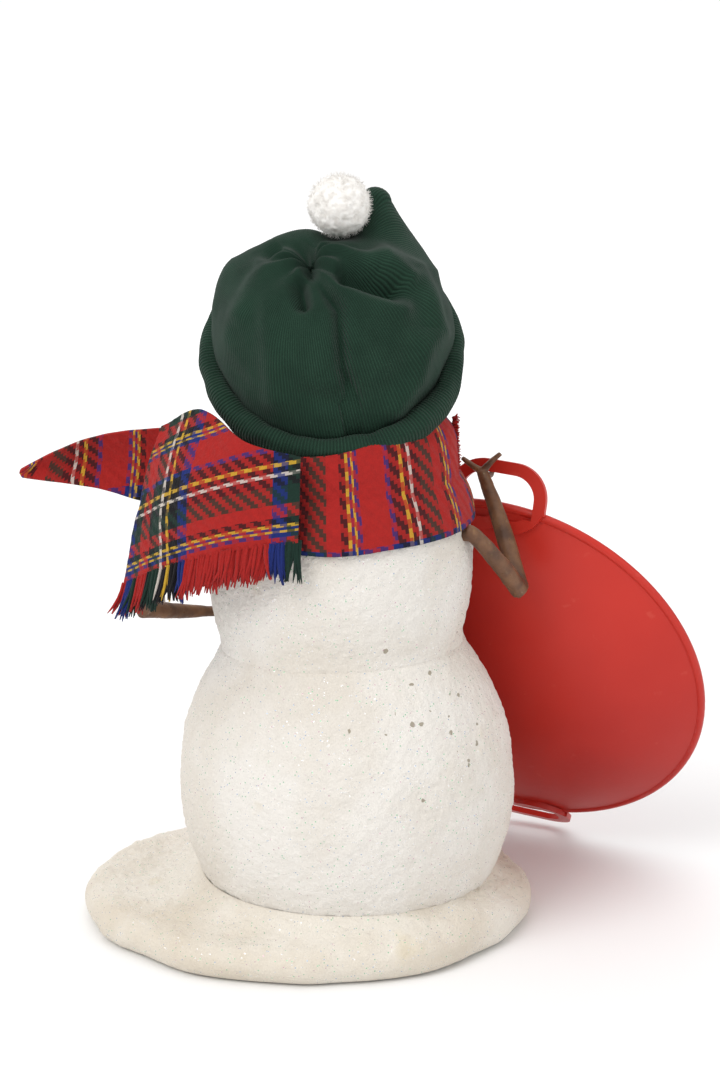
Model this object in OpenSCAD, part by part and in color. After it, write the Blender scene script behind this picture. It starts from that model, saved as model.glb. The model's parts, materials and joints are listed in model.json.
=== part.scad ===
// Snowman figure with a knitted cap, a tartan scarf, twig arms and a saucer sled.
// Three turned wood balls under a flocked snow covering are threaded on one dowel and
// screwed to a board inside a snow drift. The arms turn in drilled shoulders, and the
// sled hangs from the right hand by its strap handle.
// The figure faces -Y, +Z is up, and the origin lies on the ground under the lower ball.

/* [Balls] */
// Widest radius of the lower ball, over its snow
lower_r = 39.5; // [32.5:0.5:47.5]
// Widest radius of the chest, over its snow
chest_r = 31; // [28:0.5:37.5]
// Radius of the head, over its snow
head_r = 23.8; // [19.8:0.2:28.6]
// How far the lower ball's arc is struck from beyond its axis, which makes it tall
lower_stretch = 12.5; // [8:0.5:16]
// The same for the lower half of the chest
chest_stretch = 44; // [30:1:60]
// How far the lower ball is cut in where it stands on the board
foot_in = 11; // [8:0.5:14]
// How far the waist is cut in from the chest
waist_in = 3.5; // [2:0.5:5]
// How far the neck is cut in from the chest
neck_in = 9.6; // [8:0.2:11]
// Radius of the flat under the head
head_flat_r = 12; // [10:0.5:14]
// Sideways lean of the dowel, in degrees
lean = 1.8; // [0:0.1:3]
// Thickness of the flocked snow over the wood
snow_t = 1.6; // [1:0.1:2.5]

/* [Dowel and screw] */
// Radius of the dowel
dowel_r = 4; // [3:0.25:5]
// How far the dowel reaches into the lower ball, below its top
dowel_in = 39; // [20:1:40]
// How far the dowel reaches into the head, above its flat
dowel_up = 27; // [12:1:30]
// Radius of the screw's shank
screw_r = 1.75; // [1.5:0.25:2]
// Radius over the screw's thread
thread_r = 2.3; // [2.1:0.1:2.6]
// Radius of the screw's head
screw_head_r = 3.6; // [3.2:0.2:4.2]
// Length of the screw
screw_len = 25; // [16:1:26]

/* [Base] */
// Half length of the snow drift, across the figure
base_r = 54; // [52:0.5:65]
// Depth of the drift as a share of its length
base_squash = 0.93; // [0.9:0.01:1]
// Centre of the drift across the figure
base_x = 9; // [4:0.5:10]
// Centre of the drift, front to back
base_y = -5; // [-8:0.5:0]
// Radius of the drift's rounded edge
edge_r = 4.4; // [3.8:0.1:5]
// Height of the snow heaped against the ball, above the edge
heap_h = 6; // [3:0.5:8]
// Thickness of the felt pad
felt_t = 1; // [0.8:0.1:2]
// Thickness of the board
board_t = 3; // [2.6:0.2:4]
// How far the board's edge lies inside the drift
board_in = 4; // [3:0.5:8]

/* [Face and buttons] */
// Radius of the coal eyes
eye_r = 1.9; // [1.4:0.1:2.4]
// Angle of each eye from the middle of the face
eye_turn = 19; // [14:1:24]
// Radius of the coal pieces of the mouth
mouth_r = 1.1; // [0.9:0.1:1.4]
// Radius of the coat buttons
button_r = 2.4; // [1.8:0.1:3]
// Radius of the pins behind the eyes, mouth and buttons
pin_r = 0.8; // [0.6:0.1:0.9]
// Length of those pins
pin_len = 5; // [4:0.5:7]
// Length of the carrot nose
nose_len = 16; // [8:1:22]
// Radius of the nose where it meets the face
nose_r = 2.6; // [2:0.1:3.2]

/* [Cap] */
// Thickness of the knit
knit_t = 1.2; // [0.8:0.1:1.6]
// Radius of the rolled cuff's section
cuff_r = 3.2; // [2.6:0.1:4]
// Tilt of the cuff, lower at the back
cuff_tilt = 44; // [36:1:50]
// How far the cuff sits up the head from its centre
cuff_rise = 4; // [2:0.5:6]
// Height of the empty crown above the head's centre
crown_h = 34; // [31:0.5:38]
// Radius of the crown's folded top
crown_r = 10; // [9:0.5:12]
// Radius of the pom-pom
pom_r = 7.5; // [6:0.5:9]

/* [Scarf] */
// Thickness of the folded cloth
cloth_t = 2.2; // [1.8:0.1:3]
// Height of the lower edge of the neck wrap above the middle of the chest
wrap_up = 9.4; // [9:0.2:10.4]
// Height of the neck wrap
wrap_h = 16.5; // [15:0.5:17]
// Tilt of the neck wrap, higher at the front, in degrees
wrap_tilt = 4; // [0:0.5:5]
// Length of the tail that stands out at the left side
side_tail = 50; // [35:1:60]

/* [Arms] */
// Height of the shoulders above the middle of the chest
shoulder_up = 4.5; // [3:0.5:5]
// How far each shoulder is turned to the back
shoulder_back = 20; // [10:1:25]
// Radius of the peg that turns in the shoulder
peg_r = 1.6; // [1.3:0.1:1.8]
// Length of the peg inside the body
peg_len = 11; // [8:0.5:13]
// Radius of the arm at the shoulder
arm_root_r = 1.7; // [1.5:0.1:1.9]
// Radius of the arm at the elbow
elbow_r = 2.2; // [1.8:0.1:2.6]
// Radius of the arm at the wrist
wrist_r = 1.2; // [1:0.1:1.5]
// Radius of the fingers
finger_r = 0.7; // [0.6:0.05:0.8]

/* [Sled] */
// Radius of the saucer sled
sled_r = 50.2; // [42:0.2:60]
// Depth of the dish
sled_depth = 14; // [11:0.5:16]
// Wall of the dish
sled_t = 1.3; // [1:0.1:2]
// Radius of the rolled rim
rim_r = 1.1; // [0.9:0.1:1.4]
// Angle that the dish is tipped from level
sled_tip = 65.2; // [60:0.1:70]
// Turn of the dish to the figure's right
sled_turn = -25.4; // [-30:0.1:-20]
// Turn of the two handles round the rim
handle_turn = 5; // [0:1:8]
// Angle of the handles out of the rim, to the hollow side
handle_tip = 34; // [25:1:40]
// Width across a handle
handle_w = 24.5; // [22:0.5:28]
// Height of a handle above the rim
handle_h = 10; // [9.5:0.1:11]
// Width of the handle's strap
strap_w = 3; // [2.4:0.1:3.2]
// Thickness of the strap
strap_t = 1.4; // [1.2:0.1:1.6]

/* [Hidden] */
$fn = 96;
// Radial gaps of the glued joints, the turning pegs, the sled and the soft parts
glue_gap = 0.02;
turn_gap = 0.05;
rest_gap = 0.4;
soft_gap = 0.3;
seat_gap = 0.05;
// How far pins and pegs reach out past the snow, into the pieces that they hold
pin_out = 0.5;

// Heights of the stacked balls, each from the flat that it stands on
lower_arc = lower_r + lower_stretch;
chest_arc = chest_r + chest_stretch;
waist_r = chest_r - waist_in;
board_top = felt_t + board_t;
lower_z = board_top + rise(lower_arc, lower_r - foot_in + lower_stretch);
waist_z = lower_z + rise(lower_arc, waist_r + lower_stretch);
chest_z = waist_z + rise(chest_arc, waist_r + chest_stretch);
neck_z = chest_z + rise(chest_r, chest_r - neck_in);
head_z = neck_z + rise(head_r, head_flat_r);

// Drift, from its edge
skirt_z = 0.2;
edge_top = skirt_z + 2 * edge_r;
felt_in = board_in + 1;

// Shoulders, and the elbows as offsets from them
shoulder_z = chest_z + shoulder_up;
shoulder_r = rise(chest_r, shoulder_up);
root_out = arm_root_r + 0.4;
right_elbow = shoulder(180 - shoulder_back) + [-11.5, -10.5, -16];
left_elbow = shoulder(shoulder_back) + [15.5, -14, -19.5];
left_wrist = left_elbow + [-17.5, -16, -5];

// Sled: the dish is part of a sphere that rests against the lower ball
dish_r = (pow(sled_r, 2) + pow(sled_depth, 2)) / (2 * sled_depth);
sled_bearing = 55.1;
sled_rise = 20.35;
dish_reach = lower_arc + dish_r + rest_gap;
dish_out = dish_reach * cos(sled_rise) - lower_stretch;
dish_centre = [-dish_out * cos(sled_bearing), -dish_out * sin(sled_bearing),
               lower_z + dish_reach * sin(sled_rise)];
sled_x = [cos(sled_turn), sin(sled_turn), 0];
sled_z = [sin(sled_turn) * sin(sled_tip), -cos(sled_turn) * sin(sled_tip), cos(sled_tip)];
sled_y = cross(sled_z, sled_x);
sled_at = dish_centre - (dish_r - sled_depth) * sled_z;

// Hook: the point of the strap that the hand holds, with the strap's own directions
strap_x = cos(handle_turn) * sled_x + sin(handle_turn) * sled_y;
strap_y = cos(handle_tip) * cross(sled_z, strap_x) + sin(handle_tip) * sled_z;
strap_z = cross(strap_x, strap_y);
hook_shift = 3.3;
hook_at = sled_at + sled_r * cross(sled_z, strap_x) + (handle_h - strap_w / 2) * strap_y
          + hook_shift * strap_x;
grip = norm([strap_w, strap_t]) / 2 + 0.1 + finger_r;

// Height of a circle's arc of radius r above its centre, at a half width
function rise(r, half) = sqrt(pow(r, 2) - pow(half, 2));

// A point of the upright figure, leaned with its dowel about the lower ball's centre
function leaned_point(p) = [
    p.x * cos(lean) + (p.z - lower_z) * sin(lean),
    p.y,
    lower_z + (p.z - lower_z) * cos(lean) - p.x * sin(lean)
];

// Middle of an arm's root, just outside the snow, at a bearing from +X towards the back
function shoulder(bearing) = leaned_point([
    (shoulder_r + root_out) * cos(bearing),
    (shoulder_r + root_out) * sin(bearing),
    shoulder_z
]);

// Radius of the snow on the chest and on the lower ball at a height
function chest_at(z) =
    z < chest_z ? rise(chest_arc, z - chest_z) - chest_stretch : rise(chest_r, z - chest_z);
function lower_at(z) = rise(lower_arc, z - lower_z) - lower_stretch;

// A point near the hook, along, across and behind the strap
function by_hook(along, across, behind) =
    hook_at + along * strap_x + across * strap_y - behind * strap_z;

module leaned() {
    translate([0, 0, lower_z])
        rotate([0, lean, 0])
            translate([0, 0, -lower_z])
                children();
}

// Half outline of a ball that is taller than a sphere
module tall_ball_outline(r, stretch) {
    intersection() {
        translate([-stretch, 0]) circle(r = r + stretch);
        translate([0, -2 * r]) square([r, 4 * r]);
    }
}

// The lower ball with its flats; inset shrinks it to the wood under the snow
module lower_body(inset = 0) {
    intersection() {
        leaned()
            rotate_extrude()
                intersection() {
                    translate([0, lower_z]) tall_ball_outline(lower_r - inset, lower_stretch);
                    translate([0, -lower_r]) square([2 * lower_r, waist_z + lower_r]);
                }
        translate([-2 * lower_r, -2 * lower_r, board_top])
            cube([4 * lower_r, 4 * lower_r, 2 * waist_z]);
    }
}

module chest_body(inset = 0) {
    leaned()
        rotate_extrude()
            intersection() {
                translate([0, chest_z]) {
                    intersection() {
                        tall_ball_outline(chest_r - inset, chest_stretch);
                        translate([0, -chest_z]) square([2 * chest_r, chest_z]);
                    }
                    intersection() {
                        circle(r = chest_r - inset);
                        translate([0, -0.01]) square(2 * chest_r);
                    }
                }
                translate([0, waist_z]) square([2 * chest_r, neck_z - waist_z]);
            }
}

module head_body(inset = 0) {
    leaned()
        intersection() {
            translate([0, 0, head_z]) sphere(r = head_r - inset);
            translate([-head_r, -head_r, neck_z]) cube([2 * head_r, 2 * head_r, 3 * head_r]);
        }
}

module dowel(gap = 0) {
    leaned()
        translate([0, 0, waist_z - dowel_in - gap])
            cylinder(r = dowel_r + gap, h = neck_z - waist_z + dowel_in + dowel_up + 2 * gap);
}

module screw_shape(gap = 0) {
    translate([0, 0, felt_t]) {
        cylinder(r = screw_r + gap, h = screw_len + gap);
        cylinder(r1 = screw_head_r + gap, r2 = screw_r + gap, h = screw_head_r - screw_r);
    }
}

// Places its children on the face with their +Z outward, at a turn and a height angle
module on_face(turn, up) {
    leaned()
        translate([0, 0, head_z])
            rotate([0, 0, turn])
                rotate([-up, 0, 0])
                    translate([0, -head_r, 0])
                        rotate([90, 0, 0])
                            children();
}

// Places its children on the front of the chest or the lower ball, with their +Z outward
module on_chest(z) {
    leaned()
        translate([0, -chest_at(z), z])
            rotate([90 - asin((z - chest_z) / (z < chest_z ? chest_arc : chest_r)), 0, 0])
                children();
}

module on_lower(z) {
    leaned()
        translate([0, -lower_at(z), z])
            rotate([90 - asin((z - lower_z) / lower_arc), 0, 0])
                children();
}

module pin(gap = 0) {
    translate([0, 0, -pin_len - gap])
        cylinder(r = pin_r + gap, h = pin_len + 2 * gap + pin_out);
}

button_heights = [chest_z + 1, chest_z - 13];
lower_button_z = lower_z + 17;
eye_up = 15;
nose_peg_r = 1.5;
nose_peg_len = 8;
mouth_turns = [-26, -13, 0, 13, 26];
mouth_low = -29;

// The mouth's corners rise by this much at an angle from the middle
function mouth_up(turn) = mouth_low + 9 * pow(turn / 26, 2);

module nose_peg(gap = 0) {
    translate([0, 0, -nose_peg_len - gap])
        cylinder(r = nose_peg_r + gap, h = nose_peg_len + pin_out + gap);
}

// Everything that is drilled into the head, the chest and the lower ball
module face_holes() {
    for (side = [-1, 1])
        on_face(side * eye_turn, eye_up) pin(glue_gap);
    for (turn = mouth_turns)
        on_face(turn, mouth_up(turn)) pin(glue_gap);
    on_face(0, 0) nose_peg(glue_gap);
}

module button_holes() {
    for (z = button_heights)
        on_chest(z) pin(glue_gap);
    on_lower(lower_button_z) pin(glue_gap);
}

// A shoulder's peg, or with a gap its hole, which runs on past the root
module peg(bearing, gap = 0) {
    leaned()
        translate([0, 0, shoulder_z])
            rotate([0, 0, bearing])
                translate([shoulder_r - peg_len - 4 * gap, 0, 0])
                    rotate([0, 90, 0])
                        cylinder(r = peg_r + gap, h = peg_len + root_out + 8 * gap);
}

module shoulder_holes() {
    for (bearing = [shoulder_back, 180 - shoulder_back])
        peg(bearing, turn_gap);
}

// Round disc under the drift, inset from its narrower width
module base_disc(inset, bottom, top) {
    translate([base_x, base_y, bottom])
        cylinder(r = base_r * base_squash - inset, h = top - bottom);
}

// Column with the drift's own oval outline, inset from its edge
module base_column(inset, bottom, top) {
    translate([base_x, base_y, bottom])
        scale([1, base_squash, 1])
            cylinder(r = base_r - inset, h = top - bottom);
}

module base_felt() {
    color("dimgray") base_disc(felt_in, 0, felt_t);
}

module base_board() {
    color("burlywood")
        difference() {
            base_disc(board_in, felt_t, board_top);
            screw_shape(seat_gap);
        }
}

module base_screw() {
    pitch = 1.6;
    ridge = thread_r - screw_r;
    slot_w = 0.8;
    color("silver")
        difference() {
            union() {
                screw_shape();
                for (z = [board_top + pitch : pitch : felt_t + screw_len - pitch])
                    translate([0, 0, z]) {
                        cylinder(r1 = screw_r - 0.05, r2 = thread_r, h = ridge);
                        translate([0, 0, ridge])
                            cylinder(r1 = thread_r, r2 = screw_r - 0.05, h = ridge);
                    }
            }
            for (turn = [0, 90])
                rotate([0, 0, turn])
                    translate([-screw_r, -slot_w / 2, felt_t - 1])
                        cube([2 * screw_r, slot_w, 2.2]);
        }
}

module snow_base() {
    heap_top = edge_top + heap_h;
    heap_foot = 9;
    heap_lip = 1.5;
    heap_in = 0.5;
    color("white")
        difference() {
            union() {
                base_column(edge_r, skirt_z, edge_top);
                translate([base_x, base_y, skirt_z + edge_r])
                    scale([1, base_squash, 1])
                        rotate_extrude()
                            translate([base_r - edge_r, 0])
                                circle(r = edge_r);
                intersection() {
                    base_column(edge_r, skirt_z + 1, heap_top + 1);
                    translate([0, 0, edge_top - heap_in])
                        cylinder(r1 = lower_r + heap_foot, r2 = lower_at(heap_top) + heap_lip,
                                 h = heap_h + heap_in);
                }
            }
            base_disc(board_in - seat_gap, -1, board_top + seat_gap);
            lower_body(-seat_gap);
            translate([0, 0, board_top - 1]) cylinder(r = lower_at(board_top) - 1, h = 2);
        }
}

module lower_ball() {
    color("burlywood")
        difference() {
            lower_body(snow_t);
            dowel(glue_gap);
            translate([0, 0, board_top - 1])
                cylinder(r = thread_r + glue_gap, h = screw_len + felt_t - board_top + 2);
            button_holes();
        }
}

module lower_snow() {
    color("white")
        difference() {
            lower_body();
            lower_body_core();
            button_holes();
        }
}

// The wood's outline run on past both flats, to open the snow shells there
module lower_body_core() {
    leaned()
        translate([0, 0, lower_z])
            rotate_extrude()
                tall_ball_outline(lower_r - snow_t, lower_stretch);
}

module chest_ball() {
    color("burlywood")
        difference() {
            chest_body(snow_t);
            dowel(glue_gap);
            shoulder_holes();
            button_holes();
        }
}

module chest_snow() {
    end = 1;
    color("white")
        difference() {
            chest_body();
            chest_body(snow_t);
            leaned() {
                translate([0, 0, waist_z - end])
                    cylinder(r = waist_r - snow_t - 0.2, h = 2 * end);
                translate([0, 0, neck_z - end])
                    cylinder(r = chest_r - neck_in - snow_t - 0.4, h = 2 * end);
            }
            shoulder_holes();
            button_holes();
        }
}

module head_ball() {
    color("burlywood")
        difference() {
            head_body(snow_t);
            dowel(glue_gap);
            face_holes();
        }
}

module head_snow() {
    color("white")
        difference() {
            head_body();
            leaned() translate([0, 0, head_z]) sphere(r = head_r - snow_t);
            face_holes();
        }
}

module spine_dowel() {
    color("tan") dowel();
}

// A piece of coal: a half ball that stands on the snow, with its pin behind it
module coal(r) {
    color([0.08, 0.08, 0.09]) {
        intersection() {
            sphere(r = r);
            translate([-r, -r, glue_gap]) cube([2 * r, 2 * r, r]);
        }
        pin();
    }
}

module eye(side) {
    on_face(side * eye_turn, eye_up) coal(eye_r);
}

module left_eye() {
    eye(1);
}

module right_eye() {
    eye(-1);
}

module carrot_nose() {
    tip_r = 0.6;
    color("darkorange")
        on_face(0, 0) {
            difference() {
                union() {
                    translate([0, 0, -0.5])
                        cylinder(r1 = nose_r, r2 = tip_r, h = nose_len);
                    translate([0, 0, nose_len - 0.5]) sphere(r = tip_r);
                }
                translate([0, 0, -head_r]) sphere(r = head_r + glue_gap);
            }
            nose_peg();
        }
}

module mouth_coals() {
    for (turn = mouth_turns)
        on_face(turn, mouth_up(turn)) coal(mouth_r);
}

module upper_button() {
    on_chest(button_heights[0]) coal(button_r);
}

module middle_button() {
    on_chest(button_heights[1]) coal(button_r);
}

module lower_button() {
    on_lower(lower_button_z) coal(button_r);
}

// How far the rolled cuff's inner side stands off the head
cuff_out = 0.6;

// Ring of the cap's rolled cuff; grow makes room for it in its neighbours
module cuff_ring(grow = 0) {
    leaned()
        translate([0, 0, head_z])
            rotate([-cuff_tilt, 0, 0])
                translate([0, 0, cuff_rise])
                    rotate_extrude()
                        translate([rise(head_r, cuff_rise) + cuff_r + cuff_out, 0])
                            circle(r = cuff_r + grow);
}

pom_at = [-2.8, 6, crown_h + 3];

module hat() {
    peak_h = 12;
    peak_r = 8;
    peak_tip_r = 1.5;
    peak_foot = [-10, -3, crown_h + 6 - peak_h];
    top = [-3, -1, crown_h - crown_r];
    crown_low_r = crown_r + 2;
    crown_top_r = crown_r + 1;
    color("darkgreen") {
        difference() {
            intersection() {
                leaned()
                    translate([0, 0, head_z]) {
                        sphere(r = head_r + knit_t);
                        cylinder(r1 = head_r, r2 = crown_low_r, h = crown_h - crown_r);
                        translate(top) sphere(r = crown_top_r);
                        translate(peak_foot)
                            cylinder(r1 = peak_r, r2 = peak_tip_r, h = peak_h);
                    }
                leaned()
                    translate([0, 0, head_z])
                        rotate([-cuff_tilt, 0, 0])
                            translate([-2 * head_r, -2 * head_r, cuff_rise - 1])
                                cube(4 * head_r);
            }
            leaned() translate([0, 0, head_z]) sphere(r = head_r + seat_gap);
            leaned() translate(pom_at + [0, 0, head_z]) sphere(r = pom_r + seat_gap);
        }
        difference() {
            cuff_ring();
            leaned() translate([0, 0, head_z]) sphere(r = head_r + seat_gap);
        }
    }
}

module pom_pom() {
    color("white")
        leaned()
            translate(pom_at + [0, 0, head_z])
                sphere(r = pom_r);
}

// A flat piece of cloth between points, with a rounded edge
module cloth(points) {
    hull()
        for (p = points)
            translate(p) sphere(r = cloth_t / 2, $fn = 16);
}

module scarf() {
    wrap_z = chest_z + wrap_up - 2;
    wrap_arc = chest_r + soft_gap + cloth_t;
    wrap_top_r = rise(wrap_arc, neck_z - chest_z - 4);
    wrap_in = 16;
    back_top = [12, 28, wrap_z + 14];
    back_low = [11, 31, wrap_z + 2];
    hem_mid = [33, 27.5, wrap_z - 10];
    hem_out = [52, 10, wrap_z - 18];
    left_top = [41, 7, wrap_z + 17];
    bend_top = [27, 24, wrap_z + 16];
    tail_root = [21, -16, wrap_z + 13];
    tail_low = [24, -16, wrap_z + 2];
    tail_bend_top = tail_root + [31, -2, 0];
    tail_bend_low = tail_low + [24, -1, -4];
    tail_tip = tail_low + [side_tail + 2, -4, 4];
    color("firebrick")
        difference() {
            union() {
                leaned()
                    translate([0, 0, chest_z])
                        rotate([-wrap_tilt, 0, 0])
                            rotate_extrude()
                                intersection() {
                                    union() {
                                        circle(r = wrap_arc);
                                        square([wrap_top_r, wrap_up + wrap_h]);
                                    }
                                    translate([wrap_arc - wrap_in, wrap_up])
                                        square([wrap_in, wrap_h]);
                                }
                cloth([back_top, back_low, hem_mid, bend_top]);
                cloth([bend_top, hem_mid, hem_out, left_top]);
                cloth([tail_root, tail_low, tail_bend_low, tail_bend_top]);
                cloth([tail_bend_low, tail_bend_top, tail_tip]);
            }
            chest_body(-soft_gap);
            leaned() {
                translate([0, 0, neck_z - 1]) cylinder(r = chest_r - neck_in + soft_gap, h = 2);
                translate([0, 0, head_z]) sphere(r = head_r + soft_gap);
            }
            cuff_ring(soft_gap);
        }
}

// A length of twig between two points
module twig(a, b, ra, rb) {
    v = b - a;
    translate(a)
        rotate([0, acos(v.z / norm(v)), atan2(v.y, v.x)])
            cylinder(r1 = ra, r2 = rb, h = norm(v));
}

// A rounded knot, a little thicker than the twig there
module knot(at, r) {
    translate(at) sphere(r = 1.06 * r);
}

// A length of twig with rounded ends
module limb(a, b, ra, rb) {
    hull() {
        translate(a) sphere(r = ra, $fn = 24);
        translate(b) sphere(r = rb, $fn = 24);
    }
}

module left_arm() {
    bearing = shoulder_back;
    tips = [[-8, -5, 2], [-6, -8, -2], [-5, -1, 4.5]];
    color("saddlebrown") {
        peg(bearing);
        limb(shoulder(bearing), left_elbow, arm_root_r, elbow_r);
        limb(left_elbow, left_wrist, elbow_r, wrist_r);
        for (tip = tips)
            limb(left_wrist, left_wrist + tip, finger_r + 0.1, finger_r);
    }
}

module right_arm() {
    bearing = 180 - shoulder_back;
    behind = grip + 0.2;
    palm = by_hook(0.4, -1.6, behind + 0.3);
    inner_tip = by_hook(6, 0.8, behind);
    outer_tip = by_hook(-3.4, 3.4, behind);
    thumb_root = by_hook(0, -grip, grip);
    thumb_end = by_hook(0, -grip, -grip);
    thumb_tip = by_hook(0, 0.6 - grip / 2, -grip - 0.3);
    color("saddlebrown") {
        peg(bearing);
        knot(shoulder(bearing), arm_root_r);
        twig(shoulder(bearing), right_elbow, arm_root_r, elbow_r);
        knot(right_elbow, elbow_r);
        twig(right_elbow, palm, elbow_r, wrist_r);
        knot(palm, wrist_r);
        for (tip = [inner_tip, outer_tip]) {
            twig(palm, tip, finger_r + 0.1, finger_r);
            knot(tip, finger_r);
        }
        twig(palm, thumb_root, finger_r, finger_r);
        knot(thumb_root, finger_r);
        twig(thumb_root, thumb_end, finger_r, finger_r);
        knot(thumb_end, finger_r);
        twig(thumb_end, thumb_tip, finger_r, finger_r);
        knot(thumb_tip, finger_r);
    }
}

// Outline of an arch that stands on y = 0, with rounded shoulders
module arch(w, h, r, foot) {
    translate([-w / 2, -foot]) square([w, h - r + foot]);
    translate([r - w / 2, 0]) square([w - 2 * r, h]);
    for (side = [-1, 1])
        translate([side * (w / 2 - r), h - r]) circle(r = r);
}

module saucer() {
    corner_r = 8.5;
    foot = 1.5;
    color("firebrick")
        translate(sled_at)
            rotate([sled_tip, 0, sled_turn]) {
                rotate_extrude()
                    intersection() {
                        translate([0, dish_r - sled_depth])
                            difference() {
                                circle(r = dish_r);
                                circle(r = dish_r - sled_t);
                            }
                        translate([0, -2 * sled_depth])
                            square([sled_r - rim_r, 2 * sled_depth]);
                    }
                rotate_extrude()
                    translate([sled_r - rim_r, 0])
                        circle(r = rim_r);
                for (turn = [handle_turn, handle_turn + 180])
                    rotate([0, 0, turn])
                        translate([0, sled_r, 0])
                            rotate([handle_tip, 0, 0])
                                linear_extrude(height = strap_t, center = true)
                                    difference() {
                                        arch(handle_w, handle_h, corner_r, foot);
                                        arch(handle_w - 2 * strap_w, handle_h - strap_w,
                                             corner_r - strap_w, 2 * foot);
                                    }
            }
}

base_felt();
base_board();
base_screw();
snow_base();
lower_ball();
lower_snow();
chest_ball();
chest_snow();
head_ball();
head_snow();
spine_dowel();
left_eye();
right_eye();
carrot_nose();
mouth_coals();
upper_button();
middle_button();
lower_button();
hat();
pom_pom();
scarf();
left_arm();
right_arm();
saucer();
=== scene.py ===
"""Looks of the snowman figure: flocked snow, rib-knit cap, tartan scarf, twig arms and a saucer sled.

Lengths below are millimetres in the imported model's frame, and MM turns them into metres.
"""
import json
import math

import bpy
import numpy as np
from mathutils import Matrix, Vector


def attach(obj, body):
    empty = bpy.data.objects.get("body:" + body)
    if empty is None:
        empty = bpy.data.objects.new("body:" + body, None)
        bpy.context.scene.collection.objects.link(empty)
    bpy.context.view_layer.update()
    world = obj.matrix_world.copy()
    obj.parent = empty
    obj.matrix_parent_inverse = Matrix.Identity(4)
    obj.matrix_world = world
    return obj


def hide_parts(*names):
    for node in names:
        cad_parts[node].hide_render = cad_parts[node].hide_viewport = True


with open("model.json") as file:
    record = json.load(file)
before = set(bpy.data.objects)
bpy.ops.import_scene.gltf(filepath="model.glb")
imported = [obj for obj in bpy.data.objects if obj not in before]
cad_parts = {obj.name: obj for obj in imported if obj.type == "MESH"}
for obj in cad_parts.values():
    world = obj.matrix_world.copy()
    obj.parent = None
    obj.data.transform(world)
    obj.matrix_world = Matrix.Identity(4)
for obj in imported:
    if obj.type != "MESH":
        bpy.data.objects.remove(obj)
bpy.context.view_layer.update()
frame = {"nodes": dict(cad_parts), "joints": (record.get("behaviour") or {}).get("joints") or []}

MM = 0.001
CAD = frame["nodes"]
JOINTS = {joint["name"]: joint for joint in frame["joints"]}

# The camera stands behind the figure, a little above it, at the photograph's angle
SIGHT = math.radians(14)
TARGET = (-3.1, 0.0, 93.2)
CAMERA_AWAY = 650
CAMERA_LENS = 93.2


# ---------------------------------------------------------------- helpers
def unit(v):
    v = np.asarray(v, float)
    return v / np.linalg.norm(v)


def lattice(cells, seed):
    """A repeatable random value from 0 to 1 for each whole-number cell."""
    c = cells.astype(np.int64)
    h = (c[:, 0] * 73856093) ^ (c[:, 1] * 19349663) ^ (c[:, 2] * 83492791) ^ (seed * 2654435761)
    h = (h ^ (h >> 13)) * 1274126177
    return ((h ^ (h >> 16)) & 0xFFFFFF) / float(0xFFFFFF)


def noise(points, size, seed=0):
    """Smooth value noise from -1 to 1 with features of about this size in mm."""
    p = np.asarray(points, float) / size
    base = np.floor(p)
    f = p - base
    f = f * f * (3 - 2 * f)
    total = np.zeros(len(p))
    for corner in np.ndindex(2, 2, 2):
        weight = np.ones(len(p))
        for axis in range(3):
            weight *= f[:, axis] if corner[axis] else 1 - f[:, axis]
        total += weight * lattice(base + np.array(corner), seed)
    return 2 * total - 1


def layered(points, size, octaves=3, seed=0):
    total, height = np.zeros(len(points)), 1.0
    for k in range(octaves):
        total += height * noise(points, size / 2**k, seed + 17 * k)
        height *= 0.55
    return total


def make(name, verts, faces, body, material, attributes=None, smooth=True):
    mesh = bpy.data.meshes.new(name)
    mesh.from_pydata((np.asarray(verts) * MM).tolist(), [], [tuple(int(i) for i in f) for f in faces])
    mesh.validate()
    for key, values in (attributes or {}).items():
        made = mesh.attributes.new(key, "FLOAT_VECTOR", "POINT")
        made.data.foreach_set("vector", np.asarray(values, np.float32).ravel())
    if smooth:
        mesh.polygons.foreach_set("use_smooth", [True] * len(mesh.polygons))
    mesh.materials.append(material)
    piece = bpy.data.objects.new(name, mesh)
    bpy.context.scene.collection.objects.link(piece)
    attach(piece, body)
    return piece


def grid_faces(rows, cols, wrap_cols=False, wrap_rows=False, flip=False):
    faces = []
    for r in range(rows if wrap_rows else rows - 1):
        r2 = (r + 1) % rows
        for c in range(cols if wrap_cols else cols - 1):
            c2 = (c + 1) % cols
            quad = (r * cols + c, r * cols + c2, r2 * cols + c2, r2 * cols + c)
            faces.append(quad[::-1] if flip else quad)
    return faces


def normals_of(grid, wrap_cols=False):
    """Unit normals of a grid of points shaped rows, columns, 3."""
    if wrap_cols:
        across = np.roll(grid, -1, 1) - np.roll(grid, 1, 1)
    else:
        across = np.gradient(grid, axis=1)
    down = np.gradient(grid, axis=0)
    n = np.cross(across, down)
    return n / np.maximum(np.linalg.norm(n, axis=2, keepdims=True), 1e-9)


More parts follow.
